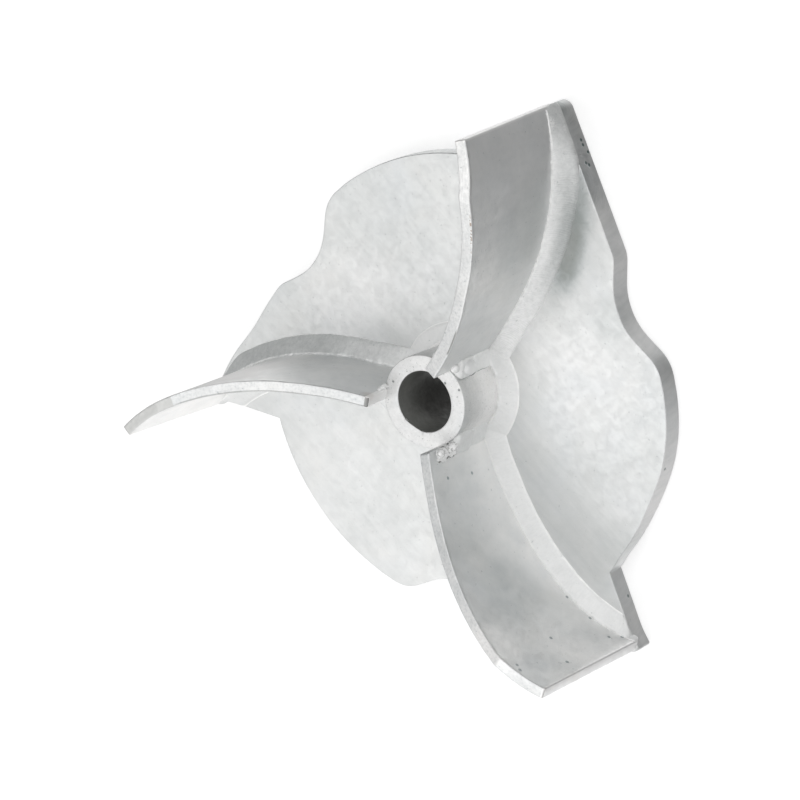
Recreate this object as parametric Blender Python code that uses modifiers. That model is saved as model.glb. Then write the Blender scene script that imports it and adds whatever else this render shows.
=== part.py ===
"""Open impeller of a slurry pump: a lobed back plate, a bored hub, three bent vanes and their welds.

The shaft axis is Z. The back plate lies on z = 0 and its front face, the hub and the vanes face +Z.
Seen from the front, vane 1 leaves the hub up and to the right, and vanes 2 and 3 follow it clockwise.
Everything is in metres.
"""

import math

import bmesh
import bpy
from mathutils import Matrix, Vector

# Driving dimensions
VANE_COUNT = 3
GAP = 0.0003
PLATE_THICKNESS = 0.020
RIM_RADIUS = 0.202
HUB_RADIUS = 0.040
BORE_RADIUS = 0.0265
HUB_STANDS_PROUD = 0.0565
HUB_CHAMFER = 0.0015

# The vane's blank, cut flat and then bent: two straight front edges that meet at a kink, and an end
# that slants out to a longer foot
VANE_THICKNESS = 0.0098
VANE_LENGTH = 0.2326
VANE_FOOT_LENGTH = 0.2406
VANE_HEIGHT_AT_HUB = 0.085
VANE_HEIGHT_AT_KINK = 0.141
VANE_HEIGHT_AT_TIP = 0.1395
VANE_KINK = 0.8
VANE_SEGMENTS = 30

# The vane's centre line in plan: its heading turns faster and faster towards the tip
VANE_START = Vector((0.0212, 0.0302))
VANE_START_HEADING = math.radians(44.2)
VANE_STEADY_TURN = math.radians(28.1)
VANE_GROWING_TURN = math.radians(27.8)

# The back plate's outline over one third of a turn, clockwise from the finger under vane 1
FINGER_INNER_CORNER = Vector((0.1076, 0.2456))
FINGER_OUTER_CORNER = Vector((0.1147, 0.2436))
FLANK_CORNER = Vector((0.1600, 0.1180))
FLANK_RADIUS = 0.012
WAIST_CORNER = Vector((0.1560, 0.0690))
WAIST_RADIUS = 0.062
SHOULDER_ANGLE = math.radians(8.8)
SHOULDER_RADIUS = 0.016
NOTCH_ANGLE = math.radians(-47.5)

# Welds: a leg is how far the bead reaches along each of the two faces that it joins
FOOT_WELD_PLATE_LEG = 0.0165
FOOT_WELD_VANE_LEG = 0.0110
HUB_WELD_PLATE_LEG = 0.0175
HUB_WELD_HUB_LEG = 0.0050
SIDE_WELD_LEG = 0.0100
WELD_CROWN = 0.10
BACK_GROOVE = 0.006
BACK_WELD_SUNK = 0.0008

# Past this share of the vane's length its foot weld has to fit on the finger: it keeps this far from
# the finger's edge, with a plate leg of at least this much
FINGER_START = 0.6
FINGER_MARGIN = 0.001
LEAST_PLATE_LEG = 0.003

# Cutters: how far they reach into the piece beside them, how far they stand past the whole object, and
# how much longer a weld's leg is made for each metre that its cutter grows by
SINK = 0.004
BEYOND = 0.010
LEG_GROWTH = 5

# How finely round shapes are divided
TURN_STEPS = 72
FLANK_STEPS, WAIST_STEPS, SHOULDER_STEPS, RIM_STEPS = 3, 6, 4, 12
WELD_FACE_STEPS = 6
SIDE_WELD_STEPS = 4
FOOT_WELD_STATIONS = 24
HUB_WELD_STATIONS = 30
SMOOTH_ANGLE = math.radians(35)
MERGE_DISTANCE = 0.00001

PLATE_FRONT = PLATE_THICKNESS
HUB_FRONT = PLATE_FRONT + HUB_STANDS_PROUD
VANES_TOP = PLATE_FRONT + VANE_HEIGHT_AT_KINK
SECTOR = 2 * math.pi / VANE_COUNT
OUTER, INNER = 1, -1  # the convex and the concave side of a vane
SIDES = ((OUTER, "outer"), (INNER, "inner"))
UP = Vector((0, 0, 1))


def clear_scene():
    for old in list(bpy.data.objects):
        bpy.data.objects.remove(old)


def collection(name):
    made = bpy.data.collections.new(name)
    bpy.context.scene.collection.children.link(made)
    return made


def material(name, colour, roughness, metallic):
    made = bpy.data.materials.new(name)
    made.use_nodes = True
    shader = made.node_tree.nodes["Principled BSDF"]
    shader.inputs["Base Color"].default_value = (*colour, 1)
    shader.inputs["Roughness"].default_value = roughness
    shader.inputs["Metallic"].default_value = metallic
    return made


def mesh_object(name, mesh, home, look=None):
    made = bpy.data.objects.new(name, mesh)
    home.objects.link(made)
    if look:
        mesh.materials.append(look)
    else:
        made.hide_render = True
        made.display_type = "WIRE"
    return made


def finish_mesh(form, name):
    """The bmesh as a mesh with its faces turned out, smooth where it is round."""
    bmesh.ops.recalc_face_normals(form, faces=form.faces)
    mesh = bpy.data.meshes.new(name)
    form.to_mesh(mesh)
    form.free()
    mesh.shade_smooth()
    mesh.set_sharp_from_angle(angle=SMOOTH_ANGLE)
    return mesh


def subtract(target, cutter):
    cut = target.modifiers.new("cut_" + cutter.name, "BOOLEAN")
    cut.operation = "DIFFERENCE"
    cut.object = cutter


def turned(name, profile, home, look=None):
    """A closed profile of (radius, height) points, turned round the Z axis."""
    mesh = bpy.data.meshes.new(name)
    edges = [(i, (i + 1) % len(profile)) for i in range(len(profile))]
    mesh.from_pydata([(r, 0, z) for r, z in profile], edges, [])
    made = mesh_object(name, mesh, home, look)
    screw = made.modifiers.new("turn", "SCREW")
    screw.steps = screw.render_steps = TURN_STEPS
    screw.use_merge_vertices = True
    screw.merge_threshold = MERGE_DISTANCE
    return made


def loft(name, sections, home, look=None):
    """A solid through sections of equally many points, closed at both ends."""
    form = bmesh.new()
    rings = [[form.verts.new(point) for point in section] for section in sections]
    count = len(rings[0])
    for ring, following in zip(rings[:-1], rings[1:]):
        for i in range(count):
            j = (i + 1) % count
            form.faces.new((ring[i], ring[j], following[j], following[i]))
    form.faces.new(rings[0])
    form.faces.new(reversed(rings[-1]))
    return mesh_object(name, finish_mesh(form, name), home, look)


# Plan geometry


def heading(along):
    return VANE_START_HEADING + VANE_STEADY_TURN * along + VANE_GROWING_TURN * along**2


FOOT_END = VANE_FOOT_LENGTH / VANE_LENGTH
CENTRE_STEPS = 600  # over the length of the front edge; the line goes on to the end of the foot


def plan_points():
    """The vane's centre line at equal steps, found by walking along its heading."""
    points = [VANE_START.copy()]
    stride = VANE_LENGTH / CENTRE_STEPS
    for step in range(math.ceil(CENTRE_STEPS * FOOT_END)):
        turn = heading((step + 0.5) / CENTRE_STEPS)
        points.append(points[-1] + stride * Vector((math.cos(turn), math.sin(turn))))
    return points


CENTRE_LINE = plan_points()


def vane_point(along, offset):
    """A plan point beside the centre line, offset towards the convex side."""
    place = along * CENTRE_STEPS
    index = min(int(place), len(CENTRE_LINE) - 2)
    centre = CENTRE_LINE[index].lerp(CENTRE_LINE[index + 1], place - index)
    turn = heading(along)
    return centre + offset * Vector((math.sin(turn), -math.cos(turn)))


def vane_height(along):
    if along < VANE_KINK:
        share = along / VANE_KINK
        return VANE_HEIGHT_AT_HUB + (VANE_HEIGHT_AT_KINK - VANE_HEIGHT_AT_HUB) * share
    share = (along - VANE_KINK) / (1 - VANE_KINK)
    return VANE_HEIGHT_AT_KINK + (VANE_HEIGHT_AT_TIP - VANE_HEIGHT_AT_KINK) * share


def along_at_radius(radius, offset):
    """How far along the vane its side reaches this radius."""
    steps = range(CENTRE_STEPS + 1)
    return next(s / CENTRE_STEPS for s in steps if vane_point(s / CENTRE_STEPS, offset).length >= radius)


def polar(radius, angle):
    return Vector((radius * math.cos(angle), radius * math.sin(angle)))


def turned_plan(point, angle):
    return Matrix.Rotation(angle, 2) @ point


def filleted(before, corner, after, radius, steps):
    """The arc of this radius that rounds the corner between two straight lines."""
    back = (before - corner).normalized()
    on = (after - corner).normalized()
    half = back.angle(on) / 2
    centre = corner + (back + on).normalized() * radius / math.sin(half)
    start = corner + back * radius / math.tan(half) - centre
    sweep = start.angle_signed(corner + on * radius / math.tan(half) - centre)
    return [centre + turned_plan(start, -sweep * step / steps) for step in range(steps + 1)]


def sector_outline():
    """One third of the plate's edge: finger, flank, waist, shoulder, rim and notch."""
    shoulder = polar(RIM_RADIUS, SHOULDER_ANGLE)
    rim_tangent = shoulder + RIM_RADIUS * Vector((math.sin(SHOULDER_ANGLE), -math.cos(SHOULDER_ANGLE)))
    points = [FINGER_INNER_CORNER, FINGER_OUTER_CORNER]
    points += filleted(FINGER_OUTER_CORNER, FLANK_CORNER, WAIST_CORNER, FLANK_RADIUS, FLANK_STEPS)
    points += filleted(FLANK_CORNER, WAIST_CORNER, shoulder, WAIST_RADIUS, WAIST_STEPS)
    rounding = filleted(WAIST_CORNER, shoulder, rim_tangent, SHOULDER_RADIUS, SHOULDER_STEPS)
    points += rounding
    start = math.atan2(rounding[-1].y, rounding[-1].x)
    for step in range(1, RIM_STEPS + 1):
        points.append(polar(RIM_RADIUS, start + (NOTCH_ANGLE - start) * step / RIM_STEPS))
    return points


def room(point, direction, line_start, line_end):
    """How far from a point, in a direction, the plate goes on before a straight stretch of its edge."""
    edge = line_end - line_start
    across = Vector((edge.y, -edge.x)).normalized()
    return (line_start - point).dot(across) / direction.dot(across)


# Pieces


def back_plate(home, cutters, look):
    curve = bpy.data.curves.new("plate_outline", "CURVE")
    curve.dimensions = "2D"
    curve.fill_mode = "BOTH"
    curve.extrude = PLATE_THICKNESS / 2
    outline = [turned_plan(p, -SECTOR * k) for k in range(VANE_COUNT) for p in sector_outline()]
    spline = curve.splines.new("POLY")
    spline.points.add(len(outline) - 1)
    for target, point in zip(spline.points, outline):
        target.co = (point.x, point.y, 0, 1)
    spline.use_cyclic_u = True
    drawn = bpy.data.objects.new("plate_outline", curve)
    home.objects.link(drawn)
    drawn.location.z = PLATE_THICKNESS / 2
    bpy.context.view_layer.update()
    graph = bpy.context.evaluated_depsgraph_get()
    flat = bpy.data.meshes.new_from_object(drawn.evaluated_get(graph))
    flat.transform(drawn.matrix_world)
    bpy.data.objects.remove(drawn)
    form = bmesh.new()
    form.from_mesh(flat)
    bmesh.ops.remove_doubles(form, verts=form.verts, dist=MERGE_DISTANCE)
    bpy.data.meshes.remove(flat)
    plate = mesh_object("back_plate", finish_mesh(form, "back_plate"), home, look)
    hole = HUB_RADIUS + GAP
    profile = [
        (0, PLATE_FRONT + BEYOND),
        (hole, PLATE_FRONT + BEYOND),
        (hole, BACK_GROOVE),
        (hole + BACK_GROOVE + BEYOND, -BEYOND),
        (0, -BEYOND),
    ]
    subtract(plate, turned("hub_hole", profile, cutters))


def hub(home, look):
    c = HUB_CHAMFER
    profile = [
        (BORE_RADIUS + c, HUB_FRONT),
        (HUB_RADIUS - c, HUB_FRONT),
        (HUB_RADIUS, HUB_FRONT - c),
        (HUB_RADIUS, 0),
        (BORE_RADIUS + c, 0),
        (BORE_RADIUS, c),
        (BORE_RADIUS, HUB_FRONT - c),
    ]
    turned("hub", profile, home, look)


def back_weld(home, look):
    inner = HUB_RADIUS + GAP
    depth = BACK_GROOVE - 2 * GAP
    profile = [
        (inner, depth),
        (inner + depth - BACK_WELD_SUNK, BACK_WELD_SUNK),
        (inner, BACK_WELD_SUNK),
    ]
    turned("hub_back_weld", profile, home, look)


def post(name, radius, cutters):
    """A round cutter on the shaft axis that clears everything inside a radius."""
    high = VANES_TOP + BEYOND
    return turned(name, [(0, high), (radius, high), (radius, 0), (0, 0)], cutters)


def vane_sheet(name, extra, home, look=None):
    """A vane bent from its flat blank. A cutter is thicker by an extra on each side and deeper."""
    form = bmesh.new()
    bmesh.ops.create_grid(form, x_segments=VANE_SEGMENTS, y_segments=1, size=0.5)
    for vert in form.verts:
        along = vert.co.x + 0.5
        height = vane_height(along)
        if vert.co.y < 0:
            height = GAP - SINK if extra else GAP
            along += max(0, along - VANE_KINK) / (1 - VANE_KINK) * (FOOT_END - 1)
        plan = vane_point(along, 0)
        vert.co = (plan.x, plan.y, PLATE_FRONT + height)
    sheet = mesh_object(name, finish_mesh(form, name), home, look)
    thick = sheet.modifiers.new("thickness", "SOLIDIFY")
    thick.thickness = VANE_THICKNESS + 2 * extra
    thick.offset = 0
    return sheet


def place(piece, number):
    """Turns a piece made for vane 1 to where vane number has it."""
    piece.rotation_euler.z = -SECTOR * (number - 1)
    return piece


def crowned(toe, other_toe, crown, steps):
    """The points of a weld's face from one toe to the other, on a parabola that bulges by the crown."""
    shares = [step / steps for step in range(steps + 1)]
    return [toe.lerp(other_toe, share) + crown * 4 * share * (1 - share) for share in shares]


def weld_section(corner, out, up, out_leg, up_leg):
    """A fillet bead cut across: two legs from the corner and a crowned face between their toes."""
    toe_out = out * out_leg
    toe_up = up * up_leg
    crown = WELD_CROWN * (toe_out + toe_up)
    return [corner, *crowned(corner + toe_out, corner + toe_up, crown, WELD_FACE_STEPS)]


def foot_weld(side, name, home, look):
    """The bead along the foot of a vane, on one of its sides, ending flush with the plate's finger."""
    offset = side * (VANE_THICKNESS / 2 + GAP)
    begin = along_at_radius(HUB_RADIUS + HUB_WELD_PLATE_LEG / 2, offset)
    notch_inner = turned_plan(polar(RIM_RADIUS, NOTCH_ANGLE), SECTOR)
    edge = (FINGER_OUTER_CORNER, FLANK_CORNER) if side == OUTER else (notch_inner, FINGER_INNER_CORNER)
    sections = []
    for station in range(FOOT_WELD_STATIONS + 1):
        along = begin + (FOOT_END - begin) * station / FOOT_WELD_STATIONS
        foot = vane_point(along, offset)
        out = (vane_point(along, 2 * offset) - foot).normalized()
        leg = FOOT_WELD_PLATE_LEG
        if along > FINGER_START:
            leg = max(LEAST_PLATE_LEG, min(leg, room(foot, out, *edge) - FINGER_MARGIN))
        rise = FOOT_WELD_VANE_LEG * (1 + leg / FOOT_WELD_PLATE_LEG) / 2
        corner = foot.to_3d() + UP * (PLATE_FRONT + GAP)
        sections.append(weld_section(corner, out.to_3d(), UP, leg, rise))
    return loft(name, sections, home, look)


def hub_foot_weld(name, home, look):
    """The bead round the hub's foot, from the middle of vane 1 clockwise to the middle of vane 2."""
    start = math.atan2(VANE_START.y, VANE_START.x)
    sections = []
    for station in range(HUB_WELD_STATIONS + 1):
        angle = start - SECTOR * station / HUB_WELD_STATIONS
        out = polar(1, angle).to_3d()
        corner = out * (HUB_RADIUS + GAP) + UP * (PLATE_FRONT + GAP)
        sections.append(weld_section(corner, out, UP, HUB_WELD_PLATE_LEG, HUB_WELD_HUB_LEG))
    return loft(name, sections, home, look)


def side_weld(side, extra, name, home, look=None):
    """The upright bead between the hub and a vane, grown by an extra where it is a cutter."""
    offset = side * (VANE_THICKNESS / 2 + GAP - extra)
    radius = HUB_RADIUS + GAP - 2 * extra
    leg = SIDE_WELD_LEG + LEG_GROWTH * extra
    root = along_at_radius(radius, offset)
    corner = vane_point(root, offset)
    toe = vane_point(root + leg / VANE_LENGTH, offset)
    corner_angle = math.atan2(corner.y, corner.x)
    hub_toe, hub_middle = (polar(radius, corner_angle - side * share * leg / radius) for share in (1, 0.5))
    crown = ((toe + hub_toe) / 2 - corner).normalized() * leg * WELD_CROWN
    plan = [corner, *crowned(toe, hub_toe, crown, SIDE_WELD_STEPS), hub_middle]
    low = PLATE_FRONT - SINK if extra else PLATE_FRONT + GAP
    high = HUB_FRONT - HUB_CHAMFER + extra
    sections = [[point.to_3d() + UP * z for point in plan] for z in (low, high)]
    return loft(name, sections, home, look)


def build():
    clear_scene()
    parts = collection("pump_impeller")
    cutters = collection("impeller_cutters")
    plate_look = material("zinc_plate", (0.62, 0.63, 0.63), 0.45, 0.6)
    hub_look = material("zinc_hub", (0.58, 0.58, 0.57), 0.40, 0.7)
    vane_look = material("zinc_vane", (0.60, 0.61, 0.61), 0.45, 0.6)
    weld_look = material("zinc_weld", (0.66, 0.67, 0.67), 0.50, 0.5)

    back_plate(parts, cutters, plate_look)
    hub(parts, hub_look)
    back_weld(parts, weld_look)

    hub_space = post("hub_space", HUB_RADIUS + GAP, cutters)
    hub_weld_space = post("hub_weld_space", HUB_RADIUS + HUB_WELD_PLATE_LEG + 2 * GAP, cutters)
    vane_spaces = []
    side_weld_spaces = {}
    for number in range(1, VANE_COUNT + 1):
        name = f"vane_{number}"
        vane_spaces.append(place(vane_sheet(name + "_space", GAP, cutters), number))
        for side, word in SIDES:
            space = side_weld(side, GAP, f"{name}_{word}_space", cutters)
            side_weld_spaces[number, side] = place(space, number)

    for number in range(1, VANE_COUNT + 1):
        name = f"vane_{number}"
        following = number % VANE_COUNT + 1
        vane = place(vane_sheet(name, 0, parts, vane_look), number)
        subtract(vane, hub_space)
        for side, word in SIDES:
            foot = place(foot_weld(side, f"{name}_{word}_foot_weld", parts, weld_look), number)
            subtract(foot, hub_weld_space)
            place(side_weld(side, 0, f"{name}_{word}_hub_weld", parts, weld_look), number)
        ring = place(hub_foot_weld(f"hub_foot_weld_{number}", parts, weld_look), number)
        subtract(ring, vane_spaces[number - 1])
        subtract(ring, vane_spaces[following - 1])
        subtract(ring, side_weld_spaces[number, OUTER])
        subtract(ring, side_weld_spaces[following, INNER])


build()
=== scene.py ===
"""Looks of a pump's open impeller: three bent vanes welded to a flame-cut plate and a bored hub, all of them
coated with zinc.

The frame gives the places. Z is the shaft axis, the plate lies on z = 0 and its front faces +Z. Sizes are in
metres, unless a comment says otherwise.
"""
import itertools
import math

import bmesh
import bpy
import numpy as np
from mathutils import Euler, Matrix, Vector
from mathutils.geometry import delaunay_2d_cdt


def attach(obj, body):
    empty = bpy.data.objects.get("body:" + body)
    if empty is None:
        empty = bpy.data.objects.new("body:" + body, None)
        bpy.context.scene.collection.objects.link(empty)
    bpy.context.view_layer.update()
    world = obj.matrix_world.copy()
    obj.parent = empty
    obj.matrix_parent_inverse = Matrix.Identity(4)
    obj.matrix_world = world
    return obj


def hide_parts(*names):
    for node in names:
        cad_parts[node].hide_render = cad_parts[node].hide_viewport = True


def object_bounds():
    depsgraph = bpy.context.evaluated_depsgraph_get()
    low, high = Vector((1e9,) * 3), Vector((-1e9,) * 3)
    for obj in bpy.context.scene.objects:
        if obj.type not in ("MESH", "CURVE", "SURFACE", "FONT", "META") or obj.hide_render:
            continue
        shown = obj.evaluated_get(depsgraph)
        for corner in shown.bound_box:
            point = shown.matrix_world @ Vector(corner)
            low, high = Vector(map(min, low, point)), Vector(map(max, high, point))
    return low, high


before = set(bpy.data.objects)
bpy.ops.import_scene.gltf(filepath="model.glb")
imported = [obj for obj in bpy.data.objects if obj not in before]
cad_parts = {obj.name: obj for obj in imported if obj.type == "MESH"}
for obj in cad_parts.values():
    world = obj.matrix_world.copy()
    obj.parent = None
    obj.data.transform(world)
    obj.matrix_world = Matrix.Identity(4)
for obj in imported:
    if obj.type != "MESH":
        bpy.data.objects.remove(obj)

CAD_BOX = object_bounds()

# Sizes of the construction, as the frame has them
VANE_COUNT = 3
SECTOR = 2 * math.pi / VANE_COUNT
PLATE_THICKNESS = 0.020
RIM_RADIUS = 0.202
HUB_RADIUS = 0.040
BORE_RADIUS = 0.0265
PLATE_FRONT = PLATE_THICKNESS
HUB_FRONT = PLATE_FRONT + 0.0565

VANE_THICKNESS = 0.0098
VANE_LENGTH = 0.2326
VANE_FOOT_LENGTH = 0.2406
VANE_HEIGHT_AT_HUB = 0.085
VANE_HEIGHT_AT_KINK = 0.141
VANE_HEIGHT_AT_TIP = 0.1395
VANE_KINK = 0.8
VANE_START = np.array((0.0212, 0.0302))
VANE_START_HEADING = math.radians(44.2)
VANE_STEADY_TURN = math.radians(28.1)
VANE_GROWING_TURN = math.radians(27.8)

FINGER_INNER_CORNER = np.array((0.1076, 0.2456))
FINGER_OUTER_CORNER = np.array((0.1147, 0.2436))
FLANK_CORNER = np.array((0.1600, 0.1180))
WAIST_CORNER = np.array((0.1560, 0.0690))
SHOULDER_ANGLE = math.radians(8.8)
NOTCH_ANGLE = math.radians(-47.5)

WELD_CROWN = 0.075
WELD_FLATNESS = 5
WELD_SUNK = 0.0009
RIPPLE_SPACING = 0.0018

# How wide the fused lip past a weld's toe is, how far its first points stretch along it, and how deep it ends
LIP = 0.0011
LIP_SHAPE = (1, 0.55, 0.15)
LIP_SUNK = 0.00008

# Where the welds ran out over the fingers, the arc melted the plate's border round
BORDER_ROUNDING = 0.0012
MELTED_ROUNDING = 0.0030
MELTED_REACH = 0.055

# How far the flame's cut leans in at the plate's front, by bearing in degrees from the hub
CUT_TAPER = (
    (-180, -45, -30, -5, 20, 62, 66, 180),
    (0.0003, 0.0003, 0.0008, 0.0014, 0.0021, 0.0021, 0.0003, 0.0003),
)

# How far apart the inner points of the plate's faces are, and the groove round the hub in its back
PLATE_SPACING = 0.0038
GROOVE_WIDTH = 0.0058
GROOVE_DEPTH = 0.0062

OUTER, INNER = 1, -1
SIDES = ((OUTER, "outer"), (INNER, "inner"))
UP = np.array((0.0, 0.0, 1.0))


# The camera and the light


def camera():
    made = bpy.data.objects.new("camera", bpy.data.cameras.new("camera"))
    bpy.context.scene.collection.objects.link(made)
    made.location = (1.2797, 0.5437, 1.9551)
    made.rotation_euler = Euler([math.radians(angle) for angle in (-16.149, 33.697, -4.920)])
    made.data.sensor_width = 36
    made.data.lens = 125.42
    bpy.context.scene.camera = made


class Graph:
    """A node tree under construction. An input given as a socket is linked, and any other is set."""

    def __init__(self, owner):
        owner.use_nodes = True
        self.tree = owner.node_tree
        self.tree.nodes.clear()

    def add(self, kind, inputs=(), **settings):
        made = self.tree.nodes.new("ShaderNode" + kind)
        for name, value in settings.items():
            setattr(made, name, value)
        for name, value in dict(inputs).items():
            if isinstance(value, bpy.types.NodeSocket):
                self.tree.links.new(value, made.inputs[name])
            else:
                made.inputs[name].default_value = value
        return made

    def math(self, operation, first, second=0.0):
        return self.add("Math", {0: first, 1: second}, operation=operation).outputs[0]

    def times(self, first, *others):
        """The product of values."""
        for other in others:
            first = self.math("MULTIPLY", first, other)
        return first

    def vector(self, operation, first, second, output="Vector"):
        return self.add("VectorMath", {0: first, 1: second}, operation=operation).outputs[output]

    def ranged(self, value, low, high, to_low=0.0, to_high=1.0):
        inputs = {"Value": value, "From Min": low, "From Max": high, "To Min": to_low, "To Max": to_high}
        return self.add("MapRange", inputs, interpolation_type="SMOOTHSTEP").outputs["Result"]


# Soft light from all round, as in a white tent: the way to each bright part of it, and its strength
TENT = (
    ((0.04, 0.48, 0.88), 1.82),
    ((0.92, 0.20, 0.32), 1.74),
    ((-0.28, -0.26, 0.93), 1.70),
    ((-0.58, 0.45, -0.68), 1.59),
    ((-0.55, -0.79, 0.28), 1.22),
    ((0.13, -0.77, -0.62), 1.17),
    ((0.00, 0.57, -0.82), 1.14),
    ((0.77, -0.28, 0.57), 1.14),
    ((-0.43, -0.46, -0.77), 1.04),
    ((0.27, -0.86, 0.43), 0.96),
    ((-0.99, -0.04, 0.12), 0.94),
    ((0.37, 0.80, 0.47), 0.94),
    ((-0.36, -0.86, -0.38), 0.82),
    ((-0.19, -0.71, 0.68), 0.74),
    ((-0.62, 0.11, 0.78), 0.59),
    ((0.18, 0.13, -0.98), 0.55),
    ((0.33, -0.36, -0.88), 0.44),
)
TENT_TIGHTNESS = 10


def light():
    world = bpy.data.worlds.new("white_tent")
    bpy.context.scene.world = world
    graph = Graph(world)
    way = graph.add("TexCoord").outputs["Generated"]
    total = 0.0
    for direction, strength in TENT:
        facing = graph.vector("DOT_PRODUCT", way, direction, "Value")
        lobe = graph.math("POWER", graph.math("MAXIMUM", facing), TENT_TIGHTNESS)
        total = graph.math("ADD", graph.times(lobe, strength), total)
    seen = graph.add("LightPath").outputs["Is Camera Ray"]
    tent = graph.add("Background", {"Strength": total})
    backdrop = graph.add("Background", {"Color": (0.93, 0.93, 0.93, 1)})
    mixed = graph.add("MixShader", {0: seen, 1: tent.outputs[0], 2: backdrop.outputs[0]})
    graph.add("OutputWorld", {"Surface": mixed.outputs[0]})
    bpy.context.scene.view_settings.view_transform = "Standard"


def floor():
    """A pale floor under the part. It shows and takes soft shadows, and leaves the tent's light as it is."""
    mesh = bpy.data.meshes.new("floor")
    reach = 30
    low = -0.0004
    corners = [(x * reach, y * reach, low) for x, y in ((-1, -1), (1, -1), (1, 1), (-1, 1))]
    mesh.from_pydata(corners, [], [(0, 1, 2, 3)])
    made = bpy.data.objects.new("floor", mesh)
    bpy.context.scene.collection.objects.link(made)
    look = bpy.data.materials.new("pale_floor")
    graph = Graph(look)
    paint = graph.add("BsdfDiffuse", {"Color": (0.80, 0.80, 0.80, 1)})
    glow = graph.add("Emission", {"Color": (1, 1, 1, 1), "Strength": 0.40})
    both = graph.add("AddShader", {0: paint.outputs[0], 1: glow.outputs[0]})
    graph.add("OutputMaterial", {"Surface": both.outputs[0]})
    mesh.materials.append(look)
    made.visible_diffuse = False
    made.visible_glossy = False
    made.visible_shadow = False


# Finishes


PALE = (0.83, 0.835, 0.83)
GREY = (0.70, 0.715, 0.71)
GREY_VANE = (0.70, 0.715, 0.715)
WHITE = (1.0, 1.0, 0.99)
BLUISH = (0.73, 0.76, 0.785)
YELLOWISH = (0.79, 0.78, 0.75)
BROWN = (0.36, 0.27, 0.20)
# The brownish grey that tints the painted shade on the plate
PAINTED_SHADE_TINT = (0.42, 0.40, 0.37)
# A near-black for painted shade in crevices, slots, pores, corners and along the vanes' borders
PAINTED_SHADE_DARK = (0.13, 0.13, 0.12)
# The grey of the painted shade on the outer stretch of the third vane's front edge
PAINTED_SHADE_GREY = (0.64, 0.64, 0.625)


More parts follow.
